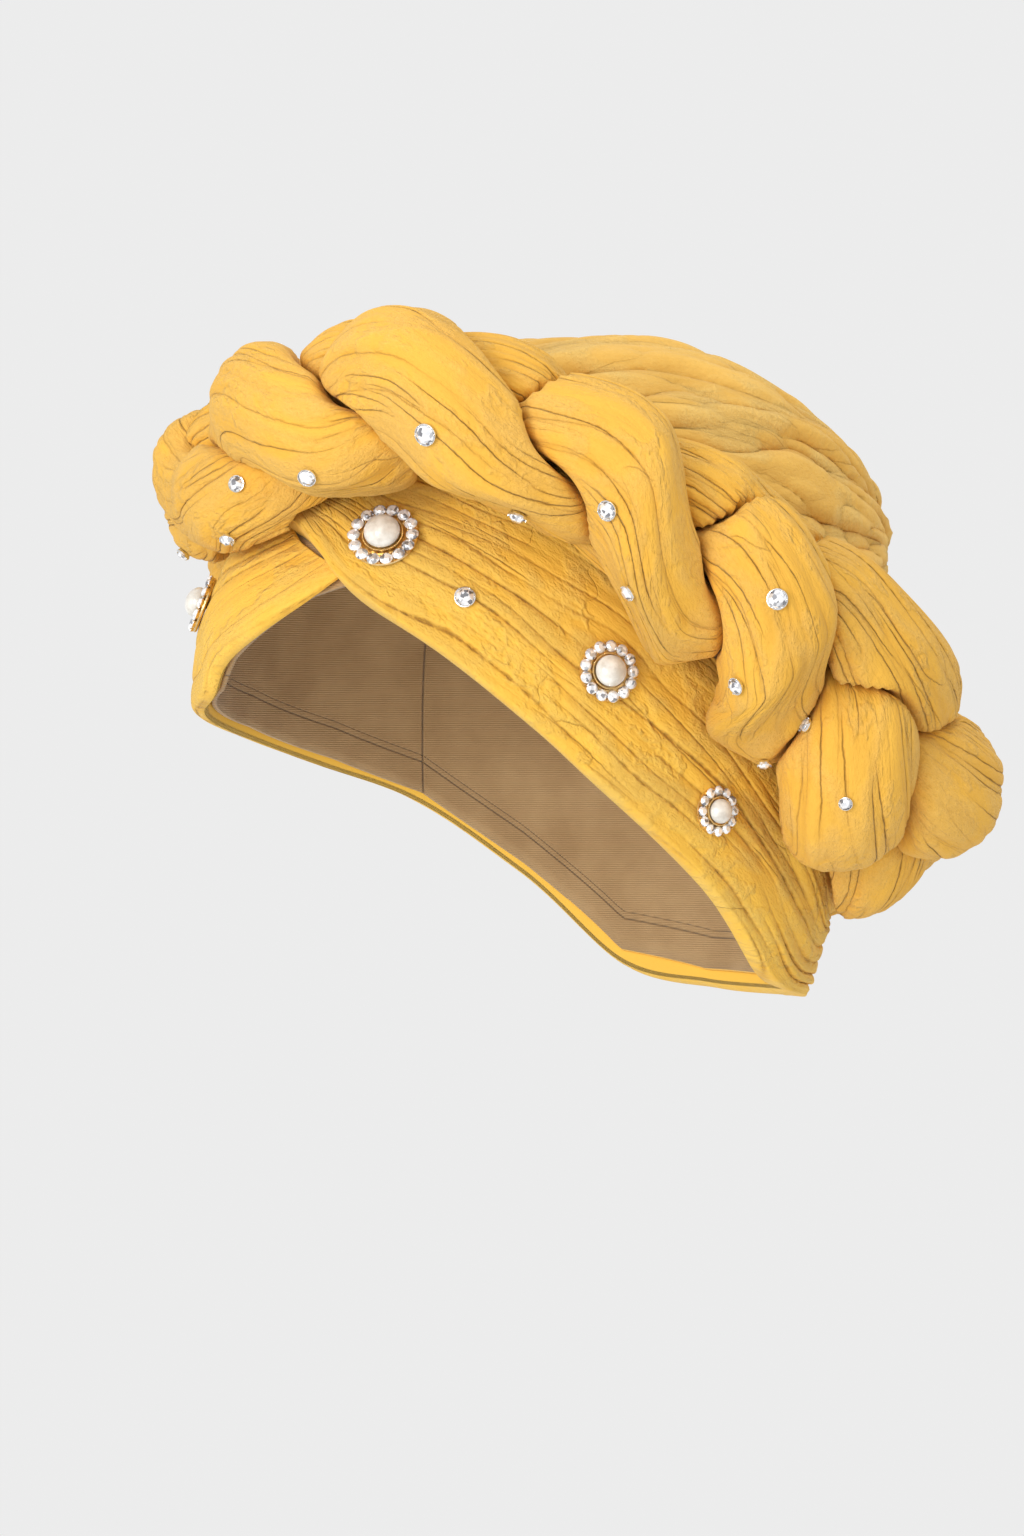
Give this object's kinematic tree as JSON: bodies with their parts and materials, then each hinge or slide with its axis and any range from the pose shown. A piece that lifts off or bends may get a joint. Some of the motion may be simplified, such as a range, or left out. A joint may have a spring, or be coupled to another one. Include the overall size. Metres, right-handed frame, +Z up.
{
  "type": "pre-tied turban",
  "caption": "Padded head wrap sewn into shape: inner cap, crossed pleated bands, puffed crown and a thick plaited wreath, with round brooches and studs.",
  "frame": {"origin": "middle of the head opening, on the wearer's midline, level with the upper ear", "axes": "the face looks along -Y, the wearer's left is +X, up is +Z"},
  "size_m": [0.2619, 0.2574, 0.2091],
  "materials": {
    "turban_cloth": "crinkled crepe, matte, golden yellow",
    "crown_cloth": "crinkled crepe, matte, slightly duller golden yellow",
    "cap_cloth": "plain stretch lining, tan",
    "gold_metal": "polished gold plate",
    "paste_stone": "cut clear stone",
    "pearl_bead": "pearl lustre"
  },
  "bodies": {
    "root": {"inner_cap": "cap_cloth", "crown": "crown_cloth", "band_right": "turban_cloth", "band_left": "turban_cloth", "braid_strand_1": "turban_cloth", "braid_strand_2": "turban_cloth", "braid_strand_3": "turban_cloth", "stud_01": "paste_stone", "stud_02": "paste_stone", "stud_03": "paste_stone", "stud_04": "paste_stone", "stud_05": "paste_stone", "stud_06": "paste_stone", "stud_07": "paste_stone", "stud_08": "paste_stone", "stud_09": "paste_stone", "stud_10": "paste_stone", "stud_11": "paste_stone", "stud_12": "paste_stone", "stud_13": "paste_stone", "stud_14": "paste_stone", "brooch_1_setting": "gold_metal", "brooch_2_setting": "gold_metal", "brooch_3_setting": "gold_metal", "brooch_4_setting": "gold_metal", "brooch_1_pearl": "pearl_bead", "brooch_2_pearl": "pearl_bead", "brooch_3_pearl": "pearl_bead", "brooch_4_pearl": "pearl_bead"}
  },
  "joints": []
}
